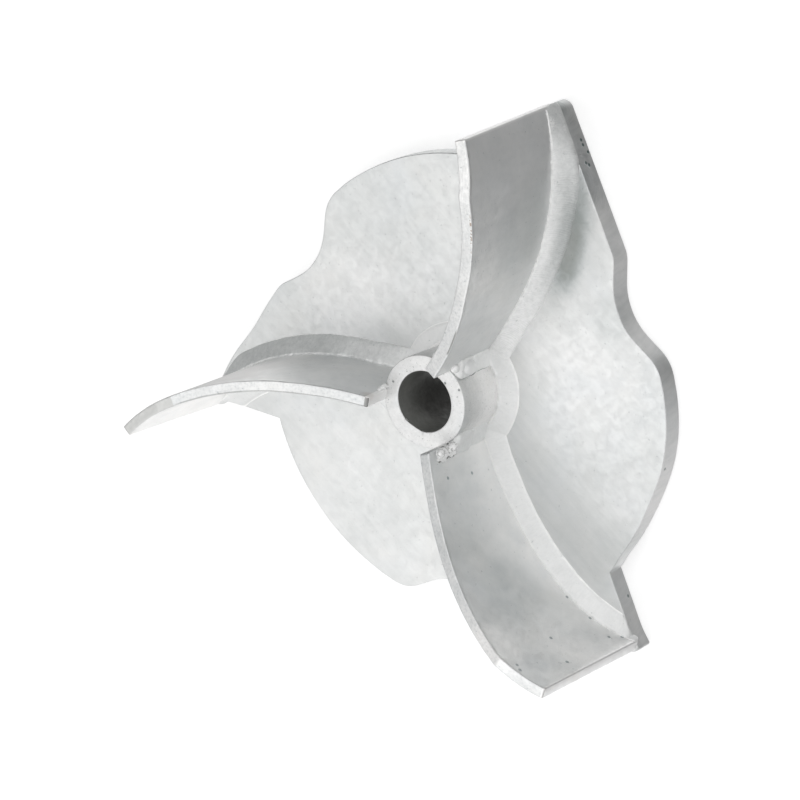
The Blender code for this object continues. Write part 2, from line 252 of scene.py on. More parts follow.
class Coat(Graph):
    """Hot-dip zinc on a piece. Its tone is built up from clouds, streaks, marks and painted light and shade:
    0 is the light colour, 1 the dark one, and more is darker still. Its relief is a bump height, in the same
    steps. A piece's guide holds its run, across and part: where a point is along the piece, across it, and on
    which part of it."""

    def __init__(self, name):
        self.look = bpy.data.materials.new(name)
        super().__init__(self.look)
        self.place = self.add("TexCoord").outputs["Object"]
        self.guide = self.add("Attribute", attribute_name="guide").outputs["Vector"]
        _, self.north, self.level = self.add("SeparateXYZ", {"Vector": self.place}).outputs
        self.run, self.across, self.part = self.add("SeparateXYZ", {"Vector": self.guide}).outputs
        self.tone = 0.0
        self.relief = 0.0
        self.bare = 0.0
        self.stains = []
        self.cloud = self.noise(self.place, 130, detail=5, distortion=0.9)

    def noise(self, where, scale, detail=3.0, distortion=0.0):
        inputs = {"Vector": where, "Scale": scale, "Detail": detail, "Distortion": distortion}
        return self.add("TexNoise", inputs).outputs["Fac"]

    def patches(self, scale, detail, low, high, distortion=0.0):
        """Noise in places, from 0 where it is low to 1 where it is high."""
        return self.ranged(self.noise(self.place, scale, detail, distortion), low, high)

    def near(self, value, at, width, flat=0.0):
        """1 where a value is close to another one, and 0 from a width away."""
        away = self.math("ABSOLUTE", self.math("SUBTRACT", value, at))
        return self.ranged(away, flat * width, width, 1.0, 0.0)

    def distance(self, centre):
        return self.vector("DISTANCE", self.place, centre, "Value")

    def ragged(self, value, amount, grain):
        """A value made uneven by noise."""
        return self.math("ADD", value, self.times(self.math("SUBTRACT", grain, 0.5), amount))

    def darken(self, amount, *values, bump=0.0):
        """Adds the values' product to the tone, and raises or lowers the surface by it."""
        value = self.times(*values)
        self.tone = self.math("ADD", self.times(value, amount), self.tone)
        if bump:
            self.relief = self.math("ADD", self.times(value, bump), self.relief)

    def stain(self, colour, amount, *values):
        """Turns the finish towards another colour, where the values' product says."""
        self.stains.append((self.times(*values, amount), colour))

    def curve(self, coordinate, points):
        """A value that goes softly from point to point along a coordinate."""
        total = points[0][1]
        for (start, low), (end, high) in zip(points, points[1:]):
            total = self.math("ADD", self.ranged(coordinate, start, end, 0.0, high - low), total)
        return total

    def clouds(self, amount, scale, detail=4):
        self.darken(amount, self.patches(scale, detail, 0.3, 0.7, 0.7))

    def streaks(self, amount, turn, size, low=0.35, high=0.7):
        """Marks drawn out one way on the plate's plane, from their size across, along and in height."""
        inputs = {"Vector": self.place, "Rotation": (0, 0, turn), "Scale": size}
        drawn = self.add("Mapping", inputs, vector_type="TEXTURE").outputs[0]
        self.darken(amount, self.ranged(self.noise(drawn, 1, 4, 0.3), low, high))

    def hues(self, amount, scale=16):
        """Faint bluish and yellowish patches."""
        value = self.noise(self.place, scale, 3, 0.6)
        self.stain(BLUISH, amount, self.ranged(value, 0.5, 0.75))
        self.stain(YELLOWISH, amount, self.ranged(value, 0.5, 0.25))

    def along(self, amount, scale, bump=0.0, only=1.0):
        """Marks that follow the piece's length, which its guide gives."""
        drawn = self.vector("MULTIPLY", self.guide, scale)
        self.darken(amount, self.ranged(self.noise(drawn, 1, 3, 0.2), 0.35, 0.7), only, bump=bump)

    def pinholes(self, amount, scale=420, rare=0.735):
        self.darken(amount, self.patches(scale, 1, rare, rare + 0.045), bump=-0.8)

    def spot(self, amount, centre, reach, soft, bump=0.0):
        """A mark at a place, with a ragged border."""
        away = self.ragged(self.distance(centre), reach * soft, self.cloud)
        self.darken(amount, self.ranged(away, 0.35 * reach, reach, 1.0, 0.0), bump=bump)

    def pits(self, amount, centres, reach=0.0020):
        for centre in centres:
            self.spot(amount, centre, reach, soft=0.6, bump=-1.5)

    def crease(self, at, width):
        """A deep dark line of painted shade along a weld where its face's share is near a value, broken up in
        places.
        """
        drawn = self.vector("MULTIPLY", self.guide, (90, 0, 0))
        patchy = self.ranged(self.noise(drawn, 1), 0.38, 0.62)
        self.darken(5.0, self.near(self.part, at, width), patchy, bump=-1.5)

    def line(self, start, end, reach, amount=0.85, colour=PAINTED_SHADE_DARK):
        """A thin line of colour along a straight line, with ragged borders: painted shade, as in a crevice,
        unless another colour is given.
        """
        way = Vector(end) - Vector(start)
        gone = self.vector("SUBTRACT", self.place, start)
        along = self.vector("DOT_PRODUCT", gone, way, "Value")
        share = self.add("Clamp", {"Value": self.math("DIVIDE", along, way.length_squared)}).outputs[0]
        nearest = self.add("VectorMath", {0: way, "Scale": share}, operation="SCALE").outputs["Vector"]
        away = self.vector("DISTANCE", gone, nearest, "Value")
        away = self.ragged(away, 1.6 * reach, self.noise(self.place, 700, 2))
        self.stain(colour, amount, self.ranged(away, 0.4 * reach, reach, 1.0, 0.0))

    def ripples(self, amount):
        """Fine crescents across a weld, one for each step of the arc, in patches."""
        wave = self.math("SINE", self.times(self.across, 2 * math.pi))
        self.darken(amount, wave, self.patches(70, 2, 0.42, 0.6))

    def toe(self, at, width, amount, gloss=0.55):
        """A bright ragged line along a weld's toe, where its face's share is near a value: pooled zinc, with
        a painted highlight on it. The gloss is how much more metallic it is there, or less where it is below
        0."""
        share = self.ragged(self.part, 2.4 * width, self.noise(self.place, 520, 3))
        patchy = self.patches(110, 2, 0.30, 0.55)
        value = self.times(self.near(share, at, width, flat=0.4), patchy)
        self.stain(WHITE, amount, value)
        self.bare = self.math("SUBTRACT", self.bare, self.times(value, gloss))

    def finished(self, light, dark, roughness, metal=0.8):
        """The material. Where it is bare of gloss it scatters light more, as dull weathered zinc does."""
        grain = self.noise(self.place, 1300, detail=2)
        relief = self.math("ADD", self.times(grain, 0.12), self.relief)
        relief = self.math("ADD", self.times(self.cloud, 0.5), relief)
        bump = self.add("Bump", {"Height": relief, "Strength": 0.5, "Distance": 0.0004})
        mix = {"Factor": self.tone, "A": (*light, 1), "B": (*dark, 1)}
        colour = self.add("Mix", mix, data_type="RGBA", clamp_factor=False).outputs[2]
        for value, stain in self.stains:
            mix = {"Factor": value, "A": colour, "B": (*stain, 1)}
            colour = self.add("Mix", mix, data_type="RGBA").outputs[2]
        inputs = {
            "Base Color": colour,
            "Roughness": self.ranged(self.cloud, 0.3, 0.7, roughness - 0.06, roughness + 0.08),
            "Metallic": self.math("SUBTRACT", metal, self.bare) if self.bare else metal,
            "Normal": bump.outputs[0],
        }
        shader = self.add("BsdfPrincipled", inputs)
        self.add("OutputMaterial", {"Surface": shader.outputs[0]})
        return self.look


# Small pits with dark bottoms: on the plate, on each vane, and on the hub's face
PLATE_PITS = (
    (0.1250, 0.2127, 0.0062), (0.1265, 0.2086, 0.0060), (0.1292, 0.2024, 0.0032), (0.1311, 0.1946, 0.0107),
    (0.1321, 0.1925, 0.0078), (0.1451, -0.1754, 0.0053), (0.1921, -0.0577, 0.0145),
)
VANE_PITS = {
    1: ((0.1128, 0.2306, 0.0332),),
    2: (
        (0.1192, -0.1891, 0.0906), (0.1427, -0.2020, 0.1058), (0.1432, -0.2020, 0.0373),
        (0.1237, -0.1921, 0.1522), (0.1282, -0.1947, 0.1552), (0.0285, -0.0599, 0.0913),
        (0.0299, -0.0645, 0.0565), (0.0997, -0.1742, 0.0295), (0.1212, -0.1903, 0.0297),
        (0.1494, -0.2046, 0.0264),
    ),
    3: ((-0.0520, 0.0105, 0.0830),),
}
HUB_PITS = ((-0.0303, 0.0154, 0.0764), (0.0222, 0.0177, 0.0764), (0.0357, 0.0127, 0.0765))

# Broad soft painted shade on the plate's front, and painted light where below 0: how much darker, where, and
# their reach
PLATE_PAINTED_LIGHT_AND_SHADE = (
    (0.20, (-0.075, 0.150, 0.020), 0.080),
    (-0.35, (0.085, 0.045, 0.020), 0.045),
    (-0.65, (-0.115, 0.072, 0.020), 0.060),
    (-0.45, (0.135, 0.000, 0.020), 0.060),
    (0.30, (0.145, -0.122, 0.020), 0.030),
    (0.60, (0.152, 0.068, 0.020), 0.028),
)

# How much painted light lies on the flame's cut, by its place along Y
CUT_PAINTED_LIGHT = (
    (-0.150, 0.3), (-0.122, 0.5), (-0.100, 1.4), (-0.062, 1.3), (-0.028, 0.9), (0.005, 0.45), (0.028, 0.0),
    (0.048, 0.6), (0.080, 0.5), (0.126, 0.5), (0.150, 0.4), (0.170, 0.0), (0.200, -0.15),
)

# Painted shade in the crevices round the heap at the second vane's upright weld, and in the slots in the
# first
# foot weld: from, to, reach
HEAP_CREVICES = (
    ((0.0200, -0.0352, 0.0858), (0.0242, -0.0333, 0.0767), 0.0017),
    ((0.0238, -0.0453, 0.0959), (0.0273, -0.0435, 0.0781), 0.0011),
)
FOOT_SLOTS = (
    ((0.1181, 0.2250, 0.0221), (0.1189, 0.2192, 0.0219), 0.0010),
    ((0.1131, 0.2320, 0.0330), (0.1133, 0.2290, 0.0320), 0.0012),
)

# Painted shade in the open crease that one upright weld left along the hub, and the brownish patch on the
# third vane
OPEN_CREASE = ((0.0375, 0.0208, 0.0668), (0.0440, 0.0247, 0.0590), 0.0014)
BROWN_PATCH = (-0.0400, 0.0085, 0.1010)


def plate_coat():
    coat = Coat("zinc_plate")
    coat.clouds(0.35, 8, detail=2)
    coat.clouds(0.35, 22)
    coat.clouds(0.15, 110)
    coat.streaks(0.22, math.radians(45), (0.005, 0.07, 0.03))
    coat.streaks(-0.25, math.radians(45), (0.009, 0.05, 0.03), low=0.55, high=0.75)
    coat.hues(0.25)
    # Broad painted shade, and painted light where the amount is below 0
    for amount, centre, reach in PLATE_PAINTED_LIGHT_AND_SHADE:
        coat.spot(amount, centre, reach, soft=0.2)
    # Painted shade beside the first and the third foot weld and at the first finger's tip, which the guide's
    # across carries, tinted brownish grey
    painted_shade_amount = coat.ragged(coat.across, 0.45, coat.cloud)
    coat.darken(2.9, coat.ranged(painted_shade_amount, 0.10, 1.10))
    coat.stain(PAINTED_SHADE_TINT, 0.35, coat.ranged(painted_shade_amount, 0.5, 1.2))
    coat.pits(4.5, PLATE_PITS)
    coat.pinholes(0.8)
    coat.along(0.45, (260, 40, 0), bump=-0.15, only=coat.part)
    coat.along(0.35, (45, 20, 0), only=coat.part)
    # Painted light on the flame's cut, varying along Y; the lighter it is, the less metallic
    cut = coat.times(coat.part, coat.curve(coat.north, CUT_PAINTED_LIGHT))
    coat.darken(-1.3, cut)
    coat.bare = coat.times(coat.math("MINIMUM", cut, 1.0), 0.80)
    return coat.finished(PALE, GREY, roughness=0.46)


def first_vane_marks(coat, front):
    """Painted light on its end, high on its face and on its front edge, with brown specks and a line of
    painted shade along the edge's border.
    """
    run, across = coat.run, coat.across
    # Painted light on the end, on a patch high on the face, and on the front edge, the most on its outer
    # stretch
    coat.darken(-1.0, coat.ranged(run, VANE_LENGTH - 0.0030, VANE_LENGTH - 0.0010))
    coat.spot(-0.7, (0.0931, 0.1178, 0.1220), 0.032, soft=0.3)
    coat.darken(-0.5, front)
    coat.darken(-0.5, coat.math("GREATER_THAN", run, 0.183), front)
    border = coat.times(coat.ranged(across, 0.0034, 0.0044), front)
    specks = coat.patches(520, 2, 0.50, 0.56)
    stretch = coat.times(coat.ranged(run, 0.134, 0.150), coat.ranged(run, 0.176, 0.166))
    coat.stain(BROWN, 0.8, specks, border, stretch)
    # A line of painted shade along the front edge's border near the hub
    stretch = coat.times(coat.ranged(run, 0.036, 0.040), coat.ranged(run, 0.068, 0.060))
    coat.stain(PAINTED_SHADE_DARK, 0.7, coat.ranged(across, 0.0042, 0.0048), front, stretch)


def second_vane_marks(coat, front):
    """Its front edge lighter towards its outer end, painted light on its end, on the outer part of its faces
    and low down away from its tip, a darker middle on its broad inner face, and painted shade in the crevices
    at the heap of weld.
    """
    run = coat.run
    face = coat.math("SUBTRACT", 1.0, front)
    coat.darken(-0.5, coat.ranged(run, 0.04, 0.08), front)
    coat.darken(-0.7, coat.ranged(run, 0.12, 0.18), front)
    # Painted light on its end
    coat.darken(-1.3, coat.ranged(run, VANE_LENGTH - 0.0026, VANE_LENGTH - 0.0010))
    coat.spot(0.8, (0.0817, -0.1566, 0.0780), 0.045, soft=0.3)
    coat.spot(-0.9, (0.1070, -0.1800, 0.1520), 0.035, soft=0.3)
    coat.spot(-0.5, (0.1500, -0.2060, 0.0800), 0.038, soft=0.3)
    # Painted shade in the crevices at the heap
    for crevice in HEAP_CREVICES:
        coat.line(*crevice)
    # Painted light on the outer part of its faces, and low down away from its tip
    coat.darken(-0.9, coat.ranged(run, 0.13, 0.21), face)
    coat.darken(-1.3, coat.ranged(coat.level, 0.090, 0.030), coat.ranged(run, 0.20, 0.10))
    coat.darken(0.35, coat.patches(11, 2, 0.45, 0.6, 0.5))


def third_vane_marks(coat, front):
    """Painted shade on the outer stretch of its front edge and along its borders, painted light on the rest
    of that edge, on its end at the hub and on the outer parts of its faces, painted shade near the hub, and a
    brownish patch.
    """
    run, across = coat.run, coat.across
    face = coat.math("SUBTRACT", 1.0, front)
    # Painted shade in grey on the front edge's outer stretch, and painted light on the rest of that edge
    dull = coat.times(coat.math("GREATER_THAN", run, 0.172), front)
    coat.darken(-0.6, coat.math("SUBTRACT", front, dull))
    coat.stain(PAINTED_SHADE_GREY, 0.85, dull)
    # Painted light on the outer part of the inner face, and a little painted shade near the hub
    coat.darken(-1.3, coat.math("LESS_THAN", across, -0.001), face, coat.ranged(run, 0.10, 0.18))
    coat.darken(0.2, coat.ranged(run, 0.11, 0.03))
    # A line of painted shade along the front edge's inner border
    coat.stain(PAINTED_SHADE_DARK, 0.45, coat.ranged(across, -0.0043, -0.0047), front, coat.ranged(run, 0.175, 0.160))
    # Painted light on the end face at the hub, which is also less metallic, and painted shade on the front
    # edge's end beside it
    end = coat.times(coat.ranged(run, 0.0062, 0.0052), face)
    coat.stain(PAINTED_SHADE_DARK, 0.6, coat.ranged(run, 0.0058, 0.0052), front)
    coat.stain(WHITE, 1.0, end)
    coat.stain(BROWN, 0.25, coat.ranged(coat.distance(BROWN_PATCH), 0.002, 0.008, 1.0, 0.0))
    # Painted light on the outer part of the outer face, which is also less metallic
    far = coat.times(coat.ranged(run, 0.09, 0.13), coat.ranged(across, 0.001, 0.002), face)
    coat.darken(-1.2, far)
    coat.bare = coat.math("MAXIMUM", coat.times(far, 0.6), coat.times(end, 0.8))


VANE_MARKS = {1: first_vane_marks, 2: second_vane_marks, 3: third_vane_marks}


def vane_coat(number):
    """Each vane's front edge and faces carry marks, painted light and painted shade of their own."""
    coat = Coat(f"zinc_vane_{number}")
    front = coat.part
    coat.clouds(0.8 if number == 2 else 0.45, 20)
    coat.clouds(0.20, 120)
    coat.streaks(0.15, math.radians(60), (0.006, 0.06, 0.03))
    coat.hues(0.3 if number == 2 else 0.2)
    coat.pinholes(1.5)
    coat.along(0.3, (60, 900, 0), bump=-0.2, only=front)
    coat.darken(0.7, coat.patches(420, 4, 0.42, 0.66), front)
    VANE_MARKS[number](coat, front)
    coat.pits(3.6, VANE_PITS[number])
    return coat.finished(PALE, GREY_VANE, roughness=0.44)


def painted_shade_weld_marks(coat, shade):
    """What the first foot weld has on it: painted shade, the most on the plate's side, ripples and open
    slots.
    """
    run, part = coat.run, coat.part
    plate_side = coat.times(coat.ranged(part, 0.80, 0.30), coat.ranged(run, 0.145, 0.190, 1.0, 0.15))
    coat.darken(shade, coat.ranged(run, 0.06, 0.13), plate_side)
    # More painted shade along its upper toe, and a little at its far end
    coat.darken(1.0, coat.ranged(run, 0.12, 0.17), coat.ranged(part, 0.97, 0.75))
    coat.darken(0.5, coat.ranged(run, 0.214, 0.230))
    coat.clouds(0.5, 300)
    coat.ripples(0.22)
    for start, end, reach in FOOT_SLOTS:
        coat.line(start, end, 3 * reach, 0.7, WHITE)
        coat.line(start, end, reach)


def porous_marks(coat):
    """What the heaps of the second vane's upright weld have on them: pores of painted shade, a lighter tone,
    and painted shade in the crevices round them.
    """
    holes = coat.patches(380, 3, 0.55, 0.61, 0.8)
    heaps = coat.ranged(coat.part, 1.2, 1.8)
    coat.stain(PAINTED_SHADE_DARK, 0.45, holes, heaps)
    coat.darken(-1.6, heaps)
    for crevice in HEAP_CREVICES:
        coat.line(*crevice)


def weld_coat(name="zinc_weld", mottle=0.15, near=0, far=0, shade=0, porous=False, toe=0.85, gloss=0.55):
    """A weld's finish, with bright ragged lines along its toes. A tone is added near the hub and one away
    from it:
    painted shade where it is above 0 and painted light where it is below. A shade gives it the first foot
    weld's painted shade, and a porous one has no line along its upper toe."""
    coat = Coat(name)
    coat.clouds(0.25, 40)
    coat.clouds(mottle, 150)
    coat.clouds(mottle, 420)
    coat.along(0.2, (500, 0, 3))
    if near or far:
        coat.darken(near, coat.ranged(coat.run, 0.10, 0.04))
        coat.darken(far, coat.ranged(coat.run, 0.04, 0.10))
    if shade:
        painted_shade_weld_marks(coat, shade)
    if porous:
        porous_marks(coat)
    else:
        coat.toe(0.955, 0.035, toe, gloss)
    coat.toe(0.015, 0.045, 0.40 if shade else 0.95)
    coat.pinholes(1.2)
    return coat.finished((0.97, 0.975, 0.97), (0.83, 0.84, 0.835), roughness=0.50, metal=0.25)


def creased_coat():
    """The finish of an upright weld that left an open crease along the hub, with painted shade in it."""
    coat = Coat("zinc_weld_creased")
    coat.clouds(0.4, 60)
    coat.clouds(0.3, 300)
    coat.toe(0.06, 0.04, 0.7)
    coat.line(*OPEN_CREASE)
    coat.spot(-1.5, (0.0331, 0.0319, 0.0792), 0.0055, soft=0.5)
    coat.crease(0.985, 0.05)
    coat.pinholes(1.2)
    return coat.finished((0.93, 0.935, 0.93), (0.79, 0.80, 0.795), roughness=0.50, metal=0.4)


def hub_coat():
    """The hub's finish. Its guide's across is the height over the plate's back."""
    coat = Coat("zinc_hub")
    coat.clouds(0.4, 45)
    coat.clouds(0.5, 380)
    coat.pinholes(2.5, scale=700, rare=0.70)
    coat.hues(0.25, 30)
    # Painted light low on the hub's side, and painted shade higher up, just below its front face
    coat.darken(-1.4, coat.ranged(coat.across, 0.062, 0.036))
    coat.darken(0.8, coat.ranged(coat.across, 0.058, 0.070), coat.ranged(coat.across, 0.0763, 0.0752))
    coat.pits(4.0, HUB_PITS, 0.0016)
    return coat.finished((0.82, 0.82, 0.815), (0.70, 0.705, 0.70), roughness=0.45)


def bore_coat():
    coat = Coat("dark_bore")
    coat.clouds(0.1, 60)
    coat.clouds(0.1, 300)
    # Dark mill scale with painted shade: darker further in from the front, and a little darker towards -Y
    coat.darken(0.80, coat.ranged(coat.across, 0.071, 0.030))
    coat.darken(0.13, coat.ranged(coat.north, -0.006, -0.022))
    return coat.finished((0.27, 0.275, 0.26), (0.03, 0.03, 0.025), roughness=0.50, metal=0.5)


# Smooth noise for the shapes


def lattice(cells, seed):
    """A fixed number from 0 to 1 for each cell of a grid."""
    factors = (374761393, 668265263, 1440662683)
    mixed = sum(cells[..., axis] * factor for axis, factor in enumerate(factors)) + seed * 974634777
    mixed = mixed & 0xFFFFFFFF
    mixed = ((mixed ^ (mixed >> 13)) * 1274126177) & 0xFFFFFFFF
    return ((mixed ^ (mixed >> 16)) & 0xFFFF) / 0xFFFF


def noise(places, seed):
    """Noise from -1 to 1 whose features are about 1 unit wide, at an array of 3-D places."""
    places = np.asarray(places, float)
    cell = np.floor(places).astype(np.int64)
    share = places - cell
    share = share * share * (3 - 2 * share)
    total = np.zeros(places.shape[:-1])
    for corner in itertools.product((0, 1), repeat=3):
        weight = np.prod(np.where(corner, share, 1 - share), axis=-1)
        total += weight * lattice(cell + np.array(corner), seed)
    return 2 * total - 1


def noise_at(x, y, z, seed):
    """The same noise, at coordinates given one by one as arrays or numbers."""
    return noise(np.stack(np.broadcast_arrays(x, y, z), axis=-1), seed)


def along_noise(distance, size, seed):
    """Noise along a line, whose features are about this size."""
    return noise_at(distance / size, 0, 0, seed)


# Shapes


def piece(name, mesh_data, look, replaced, sharp=50, dents=()):
    """A finished mesh that stands for nodes of the frame, from its points, their guides for the finish, and
    its faces. A dent is (centre, radius, depth)."""
    points, guides, faces = mesh_data
    low, high = (np.array(corner) for corner in CAD_BOX)
    mesh = bpy.data.meshes.new(name)
    mesh.from_pydata(np.clip(points, low, high).tolist(), [], faces)
    mesh.attributes.new("guide", "FLOAT_VECTOR", "POINT").data.foreach_set("vector", guides.ravel())
    form = bmesh.new()
    form.from_mesh(mesh)
    bmesh.ops.remove_doubles(form, verts=form.verts, dist=0.00001)
    bmesh.ops.recalc_face_normals(form, faces=form.faces)
    form.normal_update()
    for centre, radius, depth in dents:
        for vertex in form.verts:
            away = (vertex.co - Vector(centre)).length / radius
            if away < 2.5:
                vertex.co -= vertex.normal * depth * math.exp(-(away**2))
    form.to_mesh(mesh)
    form.free()
    mesh.shade_smooth()
    mesh.set_sharp_from_angle(angle=math.radians(sharp))
    mesh.materials.append(look)
    made = bpy.data.objects.new(name, mesh)
    bpy.context.scene.collection.objects.link(made)
    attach(made, "root")
    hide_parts(*replaced)
    return made


def joined(*meshes):
    """Several meshes as one: their points, guides and faces."""
    points, guides, faces = [], [], []
    count = 0
    for some_points, some_guides, some_faces in meshes:
        faces += [tuple(count + i for i in face) for face in some_faces]
        count += len(some_points)
        points.append(some_points)
        guides.append(some_guides)
    return np.concatenate(points), np.concatenate(guides), faces


def guide(*parts):
    """Guide coordinates for a grid of points, one row for each point."""
    return np.stack(np.broadcast_arrays(*parts), axis=-1).reshape(-1, 3)


def grid_faces(rows, columns, wrap_rows=False, wrap_columns=False):
    """The four-sided faces between a grid's points, numbered row by row."""
    faces = []
    for row in range(rows if wrap_rows else rows - 1):
        here, there = row * columns, (row + 1) % rows * columns
        for column in range(columns if wrap_columns else columns - 1):
            beside = (column + 1) % columns
            faces.append((here + column, here + beside, there + beside, there + column))
    return faces


def ladder(first, count):
    """Faces that close a loop of points whose two halves face each other."""
    last = first + count - 1
    return [(first + i, first + i + 1, last - i - 1, last - i) for i in range(count // 2 - 1)]


def turned(points, angle):
    """Points or directions turned round Z."""
    c, s = math.cos(angle), math.sin(angle)
    made = np.array(points, float)
    made[..., 0] = c * points[..., 0] - s * points[..., 1]
    made[..., 1] = s * points[..., 0] + c * points[..., 1]
    return made


def place_turn(number):
    return -SECTOR * (number - 1)


def unit(vectors):
    return vectors / np.linalg.norm(vectors, axis=-1, keepdims=True)


def fillet(corners, steps):
    """A closed outline of (x, y, radius) corners, with each corner that has a radius turned into an arc."""
    made = []
    for i, (x, y, radius) in enumerate(corners):
        corner = np.array((x, y))
        if radius == 0:
            made.append(corner)
            continue
        back = unit(np.array(corners[i - 1][:2]) - corner)
        on = unit(np.array(corners[(i + 1) % len(corners)][:2]) - corner)
        half = math.acos(np.clip(back @ on, -1, 1)) / 2
        centre = corner + unit(back + on) * radius / math.sin(half)
        start = corner + back * radius / math.tan(half) - centre
        end = corner + on * radius / math.tan(half) - centre
        first = math.atan2(start[1], start[0])
        turn = (math.atan2(end[1], end[0]) - first + math.pi) % (2 * math.pi) - math.pi
        for step in range(steps + 1):
            angle = first + turn * step / steps
            made.append(centre + radius * np.array((math.cos(angle), math.sin(angle))))
    return np.array(made)


def dense(points, longest, closed=True):
    """The same outline with its long sides divided."""
    made = []
    ends = np.roll(points, -1, axis=0) if closed else points[1:]
    for start, end in zip(points, ends):
        count = max(1, math.ceil(np.linalg.norm(end - start) / longest))
        made += [start + (end - start) * k / count for k in range(count)]
    return np.array(made if closed else [*made, points[-1]])


# The vane's plan


CENTRE_STEPS = 600
FOOT_END = VANE_FOOT_LENGTH / VANE_LENGTH


def heading(along):
    return VANE_START_HEADING + VANE_STEADY_TURN * along + VANE_GROWING_TURN * along**2


def centre_line():
    steps = math.ceil(CENTRE_STEPS * FOOT_END)
    turns = heading((np.arange(steps) + 0.5) / CENTRE_STEPS)
    strides = VANE_LENGTH / CENTRE_STEPS * np.stack([np.cos(turns), np.sin(turns)], axis=1)
    return np.vstack([VANE_START, VANE_START + np.cumsum(strides, axis=0)])


CENTRE_LINE = centre_line()


def vane_plan(along, offset):
    """Plan points beside the centre line, offset towards the convex side."""
    along = np.asarray(along, float)
    steps = np.arange(len(CENTRE_LINE)) / CENTRE_STEPS
    x = np.interp(along, steps, CENTRE_LINE[:, 0])
    y = np.interp(along, steps, CENTRE_LINE[:, 1])
    turn = heading(along)
    return np.stack([x + offset * np.sin(turn), y - offset * np.cos(turn)], axis=-1)


def vane_height(along):
    return np.interp(along, (0, VANE_KINK, 1), (VANE_HEIGHT_AT_HUB, VANE_HEIGHT_AT_KINK, VANE_HEIGHT_AT_TIP))


def along_at_radius(radius, offset):
    steps = np.arange(CENTRE_STEPS + 1) / CENTRE_STEPS
    reached = np.linalg.norm(vane_plan(steps, offset), axis=1) >= radius
    return steps[np.argmax(reached)]


# Vanes


# How far the front edge of a vane leans out near the hub, and how much it is cut back there
VANE_LEAN = {1: 0.0035}
VANE_CUT_BACK = {1: 0.0030, 3: -0.0022}

# How far the front edge is spread towards the concave side, over its last stretch of height
VANE_FLARE = {1: 0.0024}
VANE_FLARE_HEIGHT = 0.012


def lean(number, along, height):
    """How far a vane's middle is off its plan at a height, towards the convex side."""
    rise = np.clip(height / VANE_HEIGHT_AT_HUB, 0, 1.5)
    return VANE_LEAN.get(number, 0.0) * rise**1.5 * np.interp(along, (0, 0.15, 0.42, 1), (1, 0.9, 0, 0))


def vane(number, look):
    """A bent plate with rounded borders. Its front edge is sheared and rough, and its faces are slightly
    uneven."""
    rounding = 0.0013
    half = VANE_THICKNESS / 2
    start = along_at_radius(HUB_RADIUS - 0.0006, 0)
    end_steps = np.linspace(0, math.pi / 2, 5)
    inset = rounding * (1 - np.sin(end_steps)) / VANE_LENGTH
    body = np.linspace(start + rounding / VANE_LENGTH, 1 - rounding / VANE_LENGTH, 190)
    alongs = np.concatenate([(start + inset)[::-1], body[1:-1], 1 - inset])
    ends = np.cos(end_steps)
    swell = np.concatenate([ends[::-1], np.ones(len(body) - 2), ends])[:, None]

    side_steps = 48
    foot = -0.0010
    arc = np.linspace(0, math.pi / 2, 5)
    flat = np.linspace(1, -1, 10)[1:-1]
    across = [(1, share, 1, 0) for share in np.linspace(0, 1, side_steps)[:-1]]
    across += [(1, 1, math.cos(a), math.sin(a)) for a in arc]
    mirror = [(-u, share, -out, rise) for u, share, out, rise in reversed(across)]
    loop = np.array(across + [(u, 1, 0, 1) for u in flat] + mirror)
    u, share, out, rise = loop.T
    columns = len(loop)

    a = alongs[:, None]
    top = vane_height(a) - rounding
    offset = u * (half - rounding) + out * rounding * swell
    height = foot + share * (top - foot) + rise * rounding * swell
    part = np.clip(height, 0, None) / vane_height(a)
    past_kink = np.maximum(0, a - VANE_KINK) / (1 - VANE_KINK)
    near_hub = np.clip(1 - (a - start) / 0.15, 0, 1)
    reach = a + past_kink * (FOOT_END - 1) * (1 - part)
    reach = reach + VANE_CUT_BACK.get(number, 0.0) / VANE_LENGTH * part**1.5 * near_hub
    distance = reach * VANE_LENGTH

    wave = 0.00035 * noise_at(distance / 0.030, height / 0.09, number, 11)
    wave += 0.00010 * noise_at(distance / 0.009, height / 0.03, number, 12)
    scuff = noise_at(distance / 0.0060, offset / 0.0011, 7 * number, 13)
    chips = noise_at(distance / 0.0022, offset / 0.0022, 9 * number, 14)
    nicks = noise_at(distance / 0.004, 0, number, 15)
    height = height + (rise > 0) * (0.00007 * scuff + 0.00010 * chips - 0.0001)
    offset = offset + wave + ((rise > 0) & (rise < 0.99)) * np.sign(u) * 0.00012 * nicks
    offset = offset + lean(number, reach, height)
    flare = np.clip(1 - (top + rounding - height) / VANE_FLARE_HEIGHT, 0, 1) ** 2 * (1 - u) / 2
    flare = flare * np.interp(reach, (0, 0.12, 0.35, 0.8, 1), (1, 1, 0.6, 0.45, 0.1))
    offset = offset - VANE_FLARE.get(number, 0.0) * flare

    plan = vane_plan(reach, offset)
    points = np.concatenate([plan, (PLATE_FRONT + height)[..., None]], axis=-1)
    points = turned(points, place_turn(number))
    rows = len(alongs)
    faces = grid_faces(rows, columns, wrap_columns=True)
    faces += ladder(0, columns) + ladder((rows - 1) * columns, columns)
    guides = guide(a * VANE_LENGTH, u * half, (rise > 0.9) * 1.0)
    mesh_data = points.reshape(-1, 3), guides, faces
    return piece(f"vane_{number}_sheet", mesh_data, look, [f"vane_{number}"])


# Welds


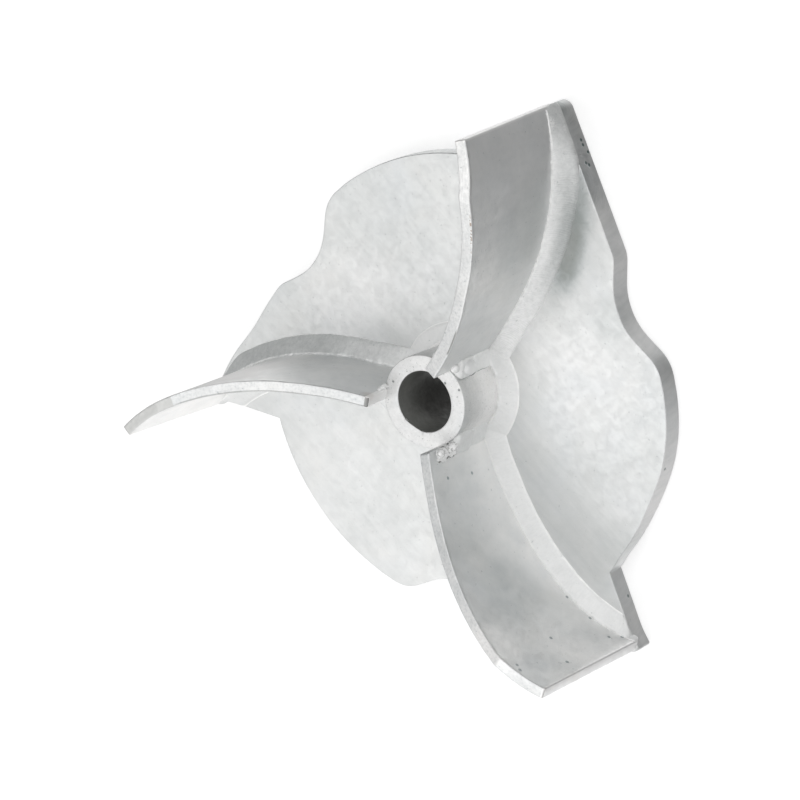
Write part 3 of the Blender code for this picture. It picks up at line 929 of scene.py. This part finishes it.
def bead(corner, first_toe, second_toe, seed, crown=WELD_CROWN, ripple=0.00006, ragged=0.0, lip=0.0,
         soft_start=0, soft_end=0):
    """A weld run along stations. Each has the corner that it fills and the toes where its face ends. The face
    bulges a little between the toes, with fine ripples from the arc's steps, and lumps where it is ragged.
    Past the first toe it runs out in a thin lip."""
    stations = len(corner)
    steps = np.linalg.norm(np.diff(corner, axis=0), axis=1)
    distance = np.concatenate([[0], np.cumsum(steps)])
    length = distance[-1]
    swing = 1 + 0.020 * along_noise(distance, 0.025, seed) + 0.014 * along_noise(distance, 0.006, seed + 1)
    swing_two = 1 + 0.030 * along_noise(distance, 0.022, seed + 2)
    swing_two = swing_two + 0.022 * along_noise(distance, 0.005, seed + 3)
    fringe = ragged * along_noise(distance, 0.0022, seed + 8)[:, None]
    for soft, gap in ((soft_start, distance), (soft_end, length - distance)):
        if soft:
            near = np.clip(gap / soft, 0, 1)
            fade = 0.25 + 0.75 * np.sqrt(1 - (1 - near) ** 2)
            swing, swing_two = swing * fade, swing_two * fade
    one = (first_toe - corner) * swing[:, None]
    two = (second_toe - corner) * swing_two[:, None]
    chord = np.linalg.norm(two - one, axis=1)[:, None]
    away = unit((one + two) / 2)

    share = (1 - np.cos(np.linspace(0, math.pi, 23))) / 2
    face = one[:, None] * (1 - share)[:, None] + two[:, None] * (share * (1 + fringe * share**6))[..., None]
    hump = 1 - np.abs(2 * share - 1) ** WELD_FLATNESS
    lift = crown * chord * hump * (1 + 0.06 * along_noise(distance, 0.03, seed + 4))[:, None]

    bow = 1.2 * (2 * share - 1) ** 2
    wander = 0.7 * along_noise(distance, 0.009, seed + 5)
    phase = (distance / RIPPLE_SPACING + wander)[:, None] + bow
    power = ripple * np.clip(0.5 + 1.2 * along_noise(distance, 0.020, seed + 6), 0.1, 1.2)[:, None]
    lift = lift + power * (np.abs(np.sin(math.pi * phase)) - 0.64) * np.sqrt(hump)
    spots = noise_at(distance[:, None] / 0.004, share * chord / 0.004, seed, seed + 7)
    lift = lift + 0.00012 * spots * np.sqrt(hump)
    ridge = 0.012 * ragged * (1 + along_noise(distance, 0.004, seed + 9))[:, None]
    slope = unit(two - one)
    square = unit(away - slope * np.sum(away * slope, axis=1)[:, None])
    ridge = ridge * np.exp(-(((share - 0.93) / 0.045) ** 2))
    face = face + away[:, None] * lift[..., None] + square[:, None] * ridge[..., None]
    past = unit(one) * np.broadcast_to(lip, stations)[:, None]
    for row, amount in enumerate(LIP_SHAPE):
        face[:, row] += past * amount
    one = one + past
    face[:, 0] -= unit(second_toe - corner) * LIP_SUNK * (np.broadcast_to(lip, stations) > 0)[:, None]

    sunk_one, sunk_two = -WELD_SUNK * unit(one), -WELD_SUNK * unit(two)
    below = [one + sunk_two, sunk_one + sunk_two, two + sunk_one]
    rows = np.concatenate([below[0][:, None], face, below[2][:, None], below[1][:, None]], axis=1)
    points = corner[:, None] + rows
    columns = points.shape[1]
    faces = grid_faces(stations, columns, wrap_columns=True)
    faces += [tuple(range(columns)), tuple(range((stations - 1) * columns, stations * columns))]
    shares = np.concatenate([[0], share, [1, 0.5]])
    phases = np.concatenate([phase[:, :1], phase, phase[:, -1:], phase[:, 11:12]], axis=1)
    return points.reshape(-1, 3), guide(distance[:, None], phases, shares), faces


def lump(centre, size, turn, seed, rough):
    """A small rounded heap of weld or zinc, with its half sizes along its own directions, turned round Z."""
    rings, segments = 15, 28
    from_top = np.linspace(0.02, math.pi - 0.02, rings)[:, None]
    angle = np.linspace(0, 2 * math.pi, segments + 1)[:-1]
    ball = raised(polar(np.sin(from_top), angle), np.cos(from_top))
    swell = 1 + rough * noise(ball * 1.6 + seed, seed) + 0.5 * rough * noise(ball * 4 + seed, seed + 1)
    points = turned(ball * swell[..., None] * np.array(size), turn) + np.array(centre)
    faces = grid_faces(rings, segments, wrap_columns=True)
    faces += [tuple(range(segments)), tuple(range((rings - 1) * segments, rings * segments))]
    return points.reshape(-1, 3), np.tile((0.0, 0.0, 2.0), (points.size // 3, 1)), faces


def weld(node, mesh_data, look, dents=()):
    """The finished piece for a weld's node."""
    return piece(node.replace("weld", "bead"), mesh_data, look, [node], sharp=70, dents=dents)


def room(point, direction, line_start, line_end):
    """How far from points, in their directions, the plate goes on before a straight stretch of its edge."""
    edge = line_end - line_start
    across = unit(np.array((edge[1], -edge[0])))
    return ((line_start - point) @ across) / (direction @ across)


def polar(radius, angle):
    return np.stack([radius * np.cos(angle), radius * np.sin(angle)], axis=-1)


def raised(plan, height):
    """Plan points at a height."""
    return np.concatenate([plan, np.broadcast_to(height, plan.shape[:-1])[..., None]], axis=-1)


def border_rounding(points):
    """How round the plate's front border is at plan points of the first third: more near the finger's
    corners."""
    corners = (FINGER_OUTER_CORNER, FINGER_INNER_CORNER)
    away = np.min([np.linalg.norm(points - corner, axis=-1) for corner in corners], axis=0)
    near = np.clip(1 - away / MELTED_REACH, 0, 1)
    near = near * near * (3 - 2 * near)
    return BORDER_ROUNDING + (MELTED_ROUNDING - BORDER_ROUNDING) * near


def soft_least(first, second, reach):
    """The lesser of two values, with a soft change from one to the other."""
    near = np.clip(1 - np.abs(first - second) / reach, 0, 1)
    return np.minimum(first, second) - reach * near**2 / 4


# Legs of the foot welds in millimetres: shares of the vane's length, and the legs along the plate and up the
# vane at those shares
FOOT_LEGS = {
    (1, OUTER): (
        (0.06, 0.12, 0.20, 0.36, 0.65, 1.0),
        (19, 17, 15, 15, 16.5, 16.5),
        (4, 8.5, 10.5, 12.5, 16, 20),
    ),
    (2, INNER): (
        (0.06, 0.12, 0.45, 0.64, 0.8, 1.0),
        (19.5, 18.7, 18.3, 17.2, 16, 16),
        (5, 4.5, 4.5, 6.5, 8.5, 6),
    ),
    (3, OUTER): (
        (0.06, 0.12, 0.20, 0.30, 0.40, 1.0),
        (19, 18, 16, 15.5, 15.5, 15.2),
        (4.5, 9, 12, 11, 14, 12),
    ),
}
USUAL_FOOT_LEGS = ((0.06, 0.14, 1.0), (19.5, 17, 16.5), (4.5, 9, 11))
FOOT_RIPPLES = {(1, OUTER): 0.00011, (3, OUTER): 0.00010}
FOOT_RAGGED = {(1, OUTER): 0.03, (2, INNER): 0.03, (3, OUTER): 0.03}

# How far inside the finger's border a foot weld stays, and how far before its end it stops
FOOT_MARGIN = {(1, OUTER): 0.0008}
FOOT_STOP = {(2, OUTER): 0.004}

# These two foot welds have no lip past their toes
NO_LIP = ((1, OUTER), (3, OUTER))


def foot_bead(number, side, word, look):
    """The run along the foot of a vane, from inside the hub's weld. It narrows where the plate's finger
    does."""
    offset = side * VANE_THICKNESS / 2
    begin = along_at_radius(HUB_RADIUS - 0.0005, offset)
    along = np.linspace(begin, FOOT_END - 0.001 - FOOT_STOP.get((number, side), 0.0) / VANE_LENGTH, 600)
    foot = vane_plan(along, offset)
    out = unit(vane_plan(along, 2 * offset) - foot)
    notch = turned(polar(RIM_RADIUS, NOTCH_ANGLE), SECTOR)
    edge = (FINGER_OUTER_CORNER, FLANK_CORNER) if side == OUTER else (notch, FINGER_INNER_CORNER)
    places, plate_legs, vane_legs = FOOT_LEGS.get((number, side), USUAL_FOOT_LEGS)
    full = np.interp(along, places, plate_legs) / 1000
    tall = np.interp(along, places, vane_legs) / 1000
    spare = np.where(along > 0.6, room(foot, out, *edge), 2 * full)
    melted = border_rounding(foot + out * np.clip(spare, 0, full)[:, None])
    margin = np.maximum(0.29 * melted, FOOT_MARGIN.get((number, side), 0.0))
    leg = np.clip(soft_least(spare - margin, full, 0.004), 0.0020, full)
    inside = np.clip(spare - leg, 0, melted)
    drop = melted - np.sqrt(melted**2 - (melted - inside) ** 2)
    rise = tall * (0.72 + 0.28 * leg / full)
    corner = raised(foot, PLATE_FRONT)
    first = corner + raised(out, 0.0) * leg[:, None] - UP * drop[:, None]
    second = corner + UP * rise[:, None]
    turn = place_turn(number)
    lines = [turned(line, turn) for line in (corner, first, second)]
    ripple = FOOT_RIPPLES.get((number, side), 0.00004)
    ragged = FOOT_RAGGED.get((number, side), 0.0)
    lip = LIP * np.clip((spare - full - 0.001) / 0.002, 0, 1) * ((number, side) not in NO_LIP)
    seed = 100 * number + 10 * (side + 1)
    made = bead(*lines, seed=seed, ripple=ripple, ragged=ragged, lip=lip, soft_end=0.005)
    return weld(f"vane_{number}_{word}_foot_weld", made, look)


# Legs of the weld round the hub, along the plate and up the hub, by the vane that each third starts from
RING_LEGS = {1: (0.0178, 0.0045), 2: (0.0172, 0.0045), 3: (0.0163, 0.0045)}


def ring_bead(number, look):
    """The run round the hub's foot, from the middle of one vane clockwise to the middle of the next."""
    start = math.atan2(VANE_START[1], VANE_START[0]) + place_turn(number)
    angle = start - SECTOR * np.linspace(0, 1, 400)
    plate_leg, hub_leg = RING_LEGS[number]
    corner = raised(polar(HUB_RADIUS, angle), PLATE_FRONT)
    first = raised(polar(HUB_RADIUS + plate_leg, angle), PLATE_FRONT)
    second = corner + UP * hub_leg
    made = bead(corner, first, second, seed=500 + 20 * number, ripple=0.00002, ragged=0.07, lip=LIP)
    return weld(f"hub_foot_weld_{number}", made, look)


# The two runs of each upright weld: from and to a height over the plate, the leg and the crown
UPRIGHT_RUNS = ((0.002, 0.031, 0.0105, 0.06), (0.028, 0.0549, 0.0120, 0.13))
UPRIGHT_SHORT = {(3, OUTER): 0.018}

# Heaps of weld at the upright welds' ends: the centre, the half sizes, the turn in degrees and the roughness
HEAPS = {
    (1, OUTER): (
        ((0.0330, 0.0305, 0.0755), (0.0038, 0.0038, 0.0045), 45, 0.15),
        ((0.0372, 0.0290, 0.0610), (0.0050, 0.0076, 0.0088), 20, 0.03),
    ),
    (2, INNER): (
        ((0.0228, -0.0405, 0.0905), (0.0054, 0.0058, 0.0078), 12, 0.30),
        ((0.0250, -0.0396, 0.0805), (0.0040, 0.0050, 0.0070), 12, 0.35),
        ((0.0262, -0.0365, 0.0765), (0.0030, 0.0036, 0.0040), 12, 0.40),
    ),
    (3, OUTER): (
        ((-0.0400, 0.0092, 0.0815), (0.0022, 0.0030, 0.0045), 0, 0.35),
        ((-0.0372, 0.0110, 0.0790), (0.0020, 0.0026, 0.0040), 0, 0.35),
    ),
}
HEAP_DENTS = {
    (1, OUTER): (((0.0352, 0.0314, 0.0795), 0.0018, 0.0012),),
    (2, INNER): (
        ((0.0262, -0.0380, 0.0875), 0.0012, 0.0018),
        ((0.0250, -0.0400, 0.0955), 0.0012, 0.0016),
        ((0.0290, -0.0365, 0.0815), 0.0012, 0.0016),
        ((0.0285, -0.0420, 0.0840), 0.0012, 0.0014),
    ),
}


def side_bead(number, side, word, look):
    """The upright weld between the hub and a vane, in two runs that overlap, with any heap at its end."""
    offset = side * VANE_THICKNESS / 2
    root = along_at_radius(HUB_RADIUS, offset)
    turn = place_turn(number)
    seed = 700 + 40 * number + 10 * side
    shift = 0.003 * lattice(np.array((seed, 0, 0)), 1)
    parts = []
    for low, high, leg, crown in UPRIGHT_RUNS:
        high -= UPRIGHT_SHORT.get((number, side), 0.0) * (high > 0.05)
        height = PLATE_FRONT + np.linspace(low + shift * (low > 0.01), high, 110)
        off = offset + lean(number, 0.0, height - PLATE_FRONT)
        corner = vane_plan(np.full_like(height, root), off)
        toe = vane_plan(np.full_like(height, root + leg / VANE_LENGTH), off)
        angle = math.atan2(*vane_plan(root, offset)[::-1]) - side * leg / HUB_RADIUS
        hub_toe = np.broadcast_to(polar(HUB_RADIUS, angle), corner.shape)
        lines = [turned(raised(line, height), turn) for line in (corner, toe, hub_toe)]
        seed += 3
        parts.append(bead(*lines, seed=seed, crown=crown, ragged=0.02, soft_start=0.005, soft_end=0.004))
    for centre, size, degrees, rough in HEAPS.get((number, side), ()):
        parts.append(lump(centre, size, math.radians(degrees), seed + len(parts), rough))
    return weld(f"vane_{number}_{word}_hub_weld", joined(*parts), look, HEAP_DENTS.get((number, side), ()))


def back_bead(look):
    """The run in the groove round the hub at the plate's back, ground nearly flush."""
    angle = np.linspace(0, 2 * math.pi, 500)
    first = raised(polar(HUB_RADIUS + GROOVE_WIDTH, angle), 0.0006)
    second = raised(polar(HUB_RADIUS, angle), 0.0006)
    corner = (first + second) / 2 + UP * 0.004
    made = bead(corner, first, second, seed=900)
    return weld("hub_back_weld", made, look)


# Hub


def hub(look, bore_look):
    """A thick tube with turned faces. Zinc has run flat over a short stretch of the bore's front edge."""
    corners = [
        (BORE_RADIUS, HUB_FRONT, 0.0009),
        (HUB_RADIUS, HUB_FRONT, 0.0005),
        (HUB_RADIUS, 0.0, 0.0010),
        (BORE_RADIUS, 0.0, 0.0012),
    ]
    profile = dense(fillet(corners, 5), 0.0016)
    segments = 264
    angle = np.arange(segments) * 2 * math.pi / segments
    radius, height = (np.broadcast_to(line[:, None], (len(profile), segments)).copy() for line in profile.T)
    theta = np.broadcast_to(angle, radius.shape)
    places = raised(polar(radius, theta), height)
    outward = (radius > BORE_RADIUS + 0.002) * 1.0
    swell = 0.00010 * noise(places / 0.009, 31) + 0.00005 * noise(places / 0.0025, 32)
    on_front = height > HUB_FRONT - 0.0003
    radius = radius + np.where(on_front, 0, swell * outward)
    height = height + np.where(on_front, 0.00006 * noise(places / 0.0028, 33) - 0.00006, 0)

    flat_centre = math.radians(-119)
    flat_reach = math.radians(22)
    flat_distance = 0.0257
    swing = (theta - flat_centre + math.pi) % (2 * math.pi) - math.pi
    near_bore = radius < BORE_RADIUS + 0.0016
    depth = np.clip((HUB_FRONT - height) / 0.004, 0, 1)
    chord = flat_distance / np.cos(np.clip(swing, -flat_reach, flat_reach))
    cover = near_bore * (np.abs(swing) < flat_reach) * (1 - depth) ** 2
    radius = radius + cover * (chord - BORE_RADIUS)
    height = height - cover * 0.0006

    points = raised(polar(radius, theta), height).reshape(-1, 3)
    faces = grid_faces(len(profile), segments, wrap_rows=True, wrap_columns=True)
    guides = guide(theta * HUB_RADIUS, height, radius)
    made = piece("hub_tube", (points, guides, faces), look, ["hub"])
    made.data.materials.append(bore_look)
    for polygon in made.data.polygons:
        inside = math.hypot(polygon.center.x, polygon.center.y) < BORE_RADIUS + 0.0001
        if inside and 0.001 < polygon.center.z < HUB_FRONT - 0.0012:
            polygon.material_index = 1
    return made


# Back plate


# Where the plate, cut by hand, differs from its plan: a place, how it is shifted there, and over what reach
PLATE_SHIFTS = (
    ((0.199, 0.028), (-0.0034, -0.0004), 0.045),
    ((0.170, -0.093), (-0.0016, 0.0009), 0.035),
    ((0.1587, -0.2161), (0.0024, -0.0006), 0.009),
    ((0.1365, -0.1489), (0.0009, -0.0028), 0.010),
    ((-0.247, 0.014), (-0.0026, 0.0022), 0.030),
    ((-0.200, 0.068), (-0.0016, 0.0014), 0.030),
    ((-0.062, -0.185), (-0.0006, -0.0017), 0.030),
)

# How round the finger's inner and outer corners are, on each third
FINGER_ROUNDING = ((0.0012, 0.0090), (0.0028, 0.0060), (0.0012, 0.0060))

# Where painted shade lies: beside the first and the third foot weld, and at the first finger's tip. Each
# point has how dark it is there, and each line of points its reach.
PAINTED_SHADE_LINES = (
    (
        (0.1300, 0.1821, 0.65),
        (0.1260, 0.1572, 0.80),
        (0.1205, 0.1321, 1.10),
        (0.1125, 0.1068, 1.05),
        (0.1030, 0.0860, 0.35),
    ),
    ((-0.150, 0.0455, 0.15), (-0.120, 0.0465, 0.25), (-0.095, 0.0435, 0.25), (-0.075, 0.0395, 0.10)),
    ((0.1110, 0.2450, 0.75), (0.1170, 0.2390, 0.75), (0.1200, 0.2330, 0.30)),
)
PAINTED_SHADE_REACHES = (0.0145, 0.0060, 0.0050)


def painted_shade_amount(points):
    """How much painted shade lies at plan points."""
    total = np.zeros(len(points))
    for line, reach in zip(PAINTED_SHADE_LINES, PAINTED_SHADE_REACHES):
        for x, y, amount in dense(np.array(line), 0.003, closed=False):
            away = np.hypot(points[:, 0] - x, points[:, 1] - y) / reach
            total = np.maximum(total, amount * np.exp(-(away**2)))
    return total


def plate_outline():
    """The plate's edge, clockwise: each third has a finger, its flank, the waist, the shoulder, the rim and a
    notch."""
    shoulder = polar(RIM_RADIUS, SHOULDER_ANGLE)
    rim = [polar(RIM_RADIUS, angle) for angle in np.linspace(SHOULDER_ANGLE - 0.13, NOTCH_ANGLE, 60)]
    third = [
        (*FINGER_INNER_CORNER, 0),
        (*FINGER_OUTER_CORNER, 0),
        (*FLANK_CORNER, 0.024),
        (*WAIST_CORNER, 0.055),
        (*shoulder, 0.034),
    ]
    third += [(*point, 0) for point in rim[:-1]] + [(*rim[-1], 0.0015)]
    corners = []
    for k in range(VANE_COUNT):
        for i, (x, y, radius) in enumerate(third):
            radius = FINGER_ROUNDING[k][i] if i < 2 else radius
            corners.append((*turned(np.array((x, y)), -SECTOR * k), radius))
    outline = dense(fillet(corners, 10), 0.0010)
    for centre, shift, reach in PLATE_SHIFTS:
        away = np.linalg.norm(outline - centre, axis=1, keepdims=True) / reach
        outline = outline + np.exp(-(away**2)) * shift
    return outline


# Less than the square of any edge of the plate's outline, for edges that shrank to a point at a round corner
TINY_AREA = 1e-18


def inside_outline(points, outline, margin):
    """Which points lie inside a closed outline, and at least the margin from it."""
    edges = np.roll(outline, -1, axis=0) - outline
    crossings = np.zeros(len(points), int)
    nearest = np.full(len(points), np.inf)
    for (x, y), (dx, dy) in zip(outline, edges):
        rel_x, rel_y = points[:, 0] - x, points[:, 1] - y
        squared = max(dx * dx + dy * dy, TINY_AREA)
        share = np.clip((rel_x * dx + rel_y * dy) / squared, 0, 1)
        nearest = np.minimum(nearest, np.hypot(rel_x - share * dx, rel_y - share * dy))
        spans = (rel_y >= 0) != (rel_y - dy >= 0)
        if abs(dy) > 0:
            crossings += spans & (rel_x < dx * rel_y / dy)
    return (crossings % 2 == 1) & (nearest > margin)


def plate_face(outline, hole, height):
    """Triangles over the plate between its outline and the hub's hole."""
    hole_radius = np.linalg.norm(hole[0])
    margin = PLATE_SPACING * 0.45
    reach = np.arange(-0.29, 0.29, PLATE_SPACING)
    grid = np.stack(np.meshgrid(reach, reach), axis=-1).reshape(-1, 2)
    jitter = np.stack([noise(raised(grid / 0.001, seed), 41) for seed in (0.0, 5.0)], axis=-1)
    grid = grid + 0.25 * PLATE_SPACING * jitter
    inner = grid[inside_outline(grid, outline, margin)]
    inner = inner[np.linalg.norm(inner, axis=1) > hole_radius + margin]
    flat = np.concatenate([outline, hole, inner])
    loops = []
    first = 0
    for ring in (outline, hole):
        loops += [(first + i, first + (i + 1) % len(ring)) for i in range(len(ring))]
        first += len(ring)
    made, _, triangles, *_ = delaunay_2d_cdt([tuple(p) for p in flat], loops, [], 1, 1e-7)
    made = np.array([tuple(p) for p in made])
    kept = [t for t in triangles if np.linalg.norm(made[list(t)].mean(axis=0)) > hole_radius - 1e-5]
    return raised(made, height), kept


def plate(look):
    """The flame-cut plate: rounded borders, drag lines down its edge, and slightly uneven faces. Its guide is
    the way round the edge, the depth plus how much painted shade lies there, and 1 on the cut."""
    outline = plate_outline()
    columns = len(outline)
    tangent = unit(np.roll(outline, -1, axis=0) - np.roll(outline, 1, axis=0))
    outward = np.stack([-tangent[:, 1], tangent[:, 0]], axis=1)
    distance = np.concatenate([[0], np.cumsum(np.linalg.norm(np.diff(outline, axis=0), axis=1))])
    sectors = np.stack([turned(outline, SECTOR * k) for k in range(VANE_COUNT)])
    rounding = np.max(border_rounding(sectors), axis=0)
    bearing = np.degrees(np.arctan2(outline[:, 1], outline[:, 0]))
    taper = np.interp(bearing, *CUT_TAPER)

    arc = np.linspace(0, math.pi / 2, 8)[:, None]
    straight = np.linspace(0, 1, 14)[1:-1, None]
    body = PLATE_THICKNESS - rounding - BORDER_ROUNDING
    rear = np.full(columns, BORDER_ROUNDING)
    inset = np.concatenate([
        rounding * (1 - np.sin(arc)),
        np.zeros((len(straight), columns)),
        rear * (1 - np.cos(arc)),
    ])
    depth = np.concatenate([
        rounding * (1 - np.cos(arc)),
        rounding + straight * body,
        PLATE_THICKNESS - rear * (1 - np.sin(arc)),
    ]) / PLATE_THICKNESS
    lagged = distance + 0.0045 * depth**2
    drag = noise_at(lagged / 0.0013, 0, depth * 1.2, 51)
    coarse = noise_at(lagged / 0.011, 0, depth * 2.5, 52)
    weight = np.clip(depth * 14, 0, 1) * np.clip((1 - depth) * 14, 0, 1)
    back = weight * (0.00004 * drag + 0.00016 * coarse + 0.00012)
    ring = outline[None] - outward[None] * (inset + back + taper * (1 - depth))[..., None]
    on_wall = np.clip(weight * 2, 0, 1)
    wall = raised(ring, PLATE_THICKNESS * (1 - depth)).reshape(-1, 3)
    # Painted shade down the wall beside the first and third foot weld and at the first finger's tip, fading
    # to the back
    painted_wall_shade = painted_shade_amount(outline) * (1 - depth)
    guides = guide(lagged, depth * PLATE_THICKNESS + painted_wall_shade, on_wall)
    parts = [(wall, guides, grid_faces(len(ring), columns, wrap_columns=True))]

    hole_steps = np.linspace(0, 2 * math.pi, 181)[:-1]
    front_hole = polar(HUB_RADIUS + 0.0005, hole_steps)
    back_hole = polar(HUB_RADIUS + GROOVE_WIDTH + 0.0002, hole_steps)
    circles = ((front_hole, PLATE_THICKNESS), (front_hole, GROOVE_DEPTH), (back_hole, 0.0))
    hole = np.concatenate([raised(circle, height) for circle, height in circles])
    parts.append((hole, np.zeros_like(hole), grid_faces(3, len(hole_steps), wrap_columns=True)))
    for border, rim, level in ((ring[0], front_hole, PLATE_THICKNESS), (ring[-1], back_hole, 0.0)):
        flat, triangles = plate_face(border, rim, level)
        # The front face's guide carries its painted shade; the back face has none
        parts.append((flat, guide(0.0, painted_shade_amount(flat) * (level > 0), 0.0), triangles))

    points, guides, faces = joined(*parts)
    relief = 0.00016 * noise(points / 0.045, 61) + 0.00005 * noise(points / 0.011, 62) - 0.0001
    points[:, 2] += np.where(points[:, 2] > PLATE_THICKNESS - 0.0001, relief, 0)
    points[:, 2] -= np.where(points[:, 2] < 0.0001, relief, 0)
    return piece("plate_body", (points, guides, faces), look, ["back_plate"], sharp=45)


def build():
    camera()
    light()
    floor()
    plate(plate_coat())
    hub(hub_coat(), bore_coat())
    weld_look = weld_coat()
    foot_looks = {
        # Painted light near the hub and away from it, and painted shade on the plate's side, on the first
        # vane's outer foot weld
        (1, OUTER): weld_coat("zinc_weld_painted_shade", mottle=0.25, near=-0.6, far=-0.5, shade=2.4),
        # Painted shade along the third vane's outer foot weld, the most away from the hub
        (3, OUTER): weld_coat("zinc_weld_rough_painted_shade", mottle=0.45, near=0.6, far=1.7, toe=0.45),
    }
    upright_looks = {
        (1, OUTER): creased_coat(),
        # Painted shade all over the second vane's inner upright weld, in the corner between vane and hub
        (2, INNER): weld_coat("zinc_weld_pitted", near=0.8, porous=True),
    }
    ring_look = weld_coat("zinc_weld_ring", toe=1.0, gloss=-0.25)
    back_bead(weld_look)
    for number in range(1, VANE_COUNT + 1):
        vane(number, vane_coat(number))
        ring_bead(number, ring_look)
        for side, word in SIDES:
            foot_bead(number, side, word, foot_looks.get((number, side), weld_look))
            side_bead(number, side, word, upright_looks.get((number, side), weld_look))


build()
